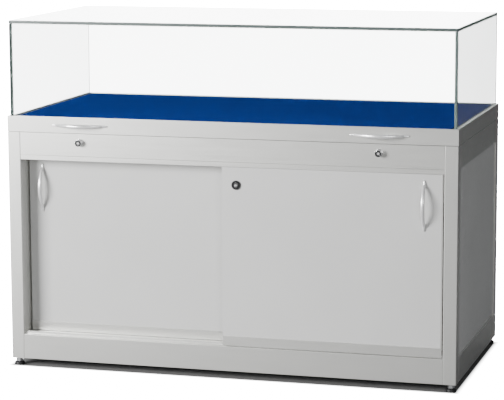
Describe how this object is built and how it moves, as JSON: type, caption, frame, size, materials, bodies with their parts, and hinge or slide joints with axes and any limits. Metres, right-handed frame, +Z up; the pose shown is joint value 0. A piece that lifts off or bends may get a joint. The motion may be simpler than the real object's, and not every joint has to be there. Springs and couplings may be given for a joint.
{
  "type": "display case",
  "caption": "Display case: aluminium-framed cabinet with sliding doors under a glass hood, whose blue fabric deck pulls forward with its front pane. Levelling feet, cam locks and bow handles.",
  "frame": {"origin": "on the floor, under the middle of the bounding box", "axes": "+X along the front towards the right, +Y towards the back, +Z up; the doors and handles face -Y"},
  "size_m": [1.2, 0.628, 0.92],
  "materials": {
    "frame_aluminium": "satin silver anodised",
    "cabinet_panel": "mid grey laminated board",
    "cabinet_board": "light grey laminated board",
    "door_laminate": "light grey laminate, matt",
    "deck_board": "raw board",
    "deck_fabric": "blue felt-like cloth, glued down",
    "glass": "clear, polished green-grey edges",
    "seal_rubber": "matt black",
    "steel": "zinc plated",
    "chrome": "satin chrome",
    "nylon": "off-white",
    "lock_black": "black",
    "foot_black": "black with a plated stem"
  },
  "bodies": {
    "case": {"post_front_left": "frame_aluminium", "post_front_right": "frame_aluminium", "post_rear_left": "frame_aluminium", "post_rear_right": "frame_aluminium", "bottom_rail_front": "frame_aluminium", "bottom_rail_rear": "frame_aluminium", "bottom_rail_left": "frame_aluminium", "bottom_rail_right": "frame_aluminium", "top_rail_front": "frame_aluminium", "top_rail_rear": "frame_aluminium", "top_rail_left": "frame_aluminium", "top_rail_right": "frame_aluminium", "upper_track": "frame_aluminium", "lower_track": "frame_aluminium", "door_jambs": "frame_aluminium", "side_panel_left": "cabinet_panel", "side_panel_right": "cabinet_panel", "back_panel": "cabinet_panel", "cabinet_floor": "cabinet_board", "cabinet_ceiling": "cabinet_board", "hood_rail_left": "frame_aluminium", "hood_rail_right": "frame_aluminium", "hood_rail_rear": "frame_aluminium", "hood_seals": "seal_rubber", "glass_left": "glass", "glass_right": "glass", "glass_rear": "glass", "glass_top": "glass", "slide_outer_members": "steel", "lock_barrels": "chrome", "foot_inserts": "steel"},
    "display_drawer": {"display_front_rail": "frame_aluminium", "glass_front": "glass", "deck_board": "deck_board", "deck_cover": "deck_fabric", "tray_sides": "steel", "slide_inner_members": "steel", "lock_strikes": "steel", "front_seal": "seal_rubber", "display_handle_left": "chrome", "display_handle_right": "chrome"},
    "slide_middle": {"slide_middle_members": "steel"},
    "left_door": {"left_door_panel": "door_laminate", "left_door_trim": "frame_aluminium", "left_door_handle": "chrome", "left_door_glides": "nylon", "door_lock_keeper": "steel"},
    "right_door": {"right_door_panel": "door_laminate", "right_door_trim": "frame_aluminium", "right_door_edge": "frame_aluminium", "right_door_handle": "chrome", "right_door_glides": "nylon", "door_lock_barrel": "lock_black"},
    "door_lock": {"door_lock_plug": "chrome"},
    "lock_left": {"lock_plug_left": "chrome"},
    "lock_right": {"lock_plug_right": "chrome"},
    "foot_front_left": {"foot_front_left": "foot_black"},
    "foot_front_right": {"foot_front_right": "foot_black"},
    "foot_rear_left": {"foot_rear_left": "foot_black"},
    "foot_rear_right": {"foot_rear_right": "foot_black"}
  },
  "joints": [
    {"name": "drawer_slide", "type": "slide", "parent": "case", "child": "display_drawer", "axis": [0, -1, 0], "range_m": [0, 0.45]},
    {"name": "slide_middle_slide", "type": "slide", "parent": "case", "child": "slide_middle", "axis": [0, -1, 0], "range_m": [0, 0.225]},
    {"name": "left_door_slide", "type": "slide", "parent": "case", "child": "left_door", "axis": [1, 0, 0], "range_m": [0, 0.5]},
    {"name": "right_door_slide", "type": "slide", "parent": "case", "child": "right_door", "axis": [1, 0, 0], "range_m": [-0.5, 0]},
    {"name": "door_lock_turn", "type": "hinge", "parent": "right_door", "child": "door_lock", "pos_m": [0.024, -0.286, 0.509], "axis": [0, -1, 0], "range_deg": [0, 90]},
    {"name": "lock_left_turn", "type": "hinge", "parent": "case", "child": "lock_left", "pos_m": [-0.399, -0.286, 0.605], "axis": [0, -1, 0], "range_deg": [0, 90]},
    {"name": "lock_right_turn", "type": "hinge", "parent": "case", "child": "lock_right", "pos_m": [0.399, -0.286, 0.605], "axis": [0, -1, 0], "range_deg": [0, 90]},
    {"name": "foot_front_left_level", "type": "slide", "parent": "case", "child": "foot_front_left", "axis": [0, 0, -1], "range_m": [0, 0.015]},
    {"name": "foot_front_right_level", "type": "slide", "parent": "case", "child": "foot_front_right", "axis": [0, 0, -1], "range_m": [0, 0.015]},
    {"name": "foot_rear_left_level", "type": "slide", "parent": "case", "child": "foot_rear_left", "axis": [0, 0, -1], "range_m": [0, 0.015]},
    {"name": "foot_rear_right_level", "type": "slide", "parent": "case", "child": "foot_rear_right", "axis": [0, 0, -1], "range_m": [0, 0.015]}
  ],
  "couplings": [
    {"joint": "slide_middle_slide", "follows": "drawer_slide", "ratio": 0.5}
  ]
}
